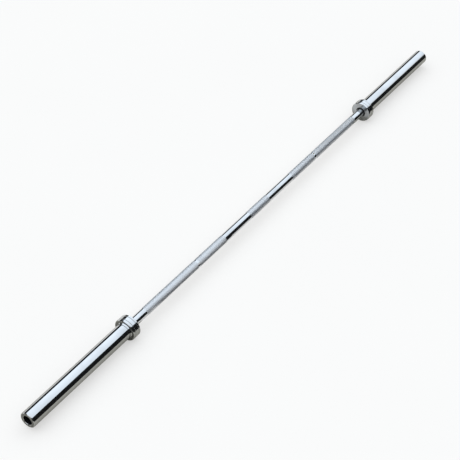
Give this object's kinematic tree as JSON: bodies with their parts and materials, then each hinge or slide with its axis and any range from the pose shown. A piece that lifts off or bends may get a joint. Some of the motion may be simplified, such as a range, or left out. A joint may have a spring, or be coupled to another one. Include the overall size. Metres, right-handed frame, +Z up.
{
  "type": "olympic barbell",
  "caption": "Long chromed weightlifting bar with a knurled grip, thick collars and free-turning plate sleeves at both ends.",
  "frame": {"origin": "middle of the grip, on the bar's axis", "axes": "+X along the bar towards the right-hand sleeve's end, +Z up, +Y away from the lifter"},
  "size_m": [2.2, 0.072, 0.072],
  "materials": {
    "shaft_chrome": "satin",
    "sleeve_chrome": "polished",
    "collar_chrome": "polished",
    "seal_rubber": "matte",
    "bushing_bronze": "satin",
    "washer_nylon": "satin",
    "washer_steel": "satin",
    "black_oxide_steel": "satin"
  },
  "bodies": {
    "bar": {"shaft": "shaft_chrome", "thrust_washer_left": "washer_nylon", "friction_washer_left": "washer_nylon", "retaining_washer_left": "washer_steel", "lock_washer_left": "black_oxide_steel", "cap_screw_left": "black_oxide_steel", "thrust_washer_right": "washer_nylon", "friction_washer_right": "washer_nylon", "retaining_washer_right": "washer_steel", "lock_washer_right": "black_oxide_steel", "cap_screw_right": "black_oxide_steel"},
    "left_sleeve": {"sleeve_left": "sleeve_chrome", "collar_left": "collar_chrome", "dust_seal_left": "seal_rubber", "inner_bushing_left": "bushing_bronze", "outer_bushing_left": "bushing_bronze"},
    "right_sleeve": {"sleeve_right": "sleeve_chrome", "collar_right": "collar_chrome", "dust_seal_right": "seal_rubber", "inner_bushing_right": "bushing_bronze", "outer_bushing_right": "bushing_bronze"}
  },
  "joints": [
    {"name": "left_sleeve_spin", "type": "hinge", "parent": "bar", "child": "left_sleeve", "pos_m": [-0.88, 0, 0], "axis": [1, 0, 0], "continuous": true},
    {"name": "right_sleeve_spin", "type": "hinge", "parent": "bar", "child": "right_sleeve", "pos_m": [0.88, 0, 0], "axis": [1, 0, 0], "continuous": true}
  ]
}
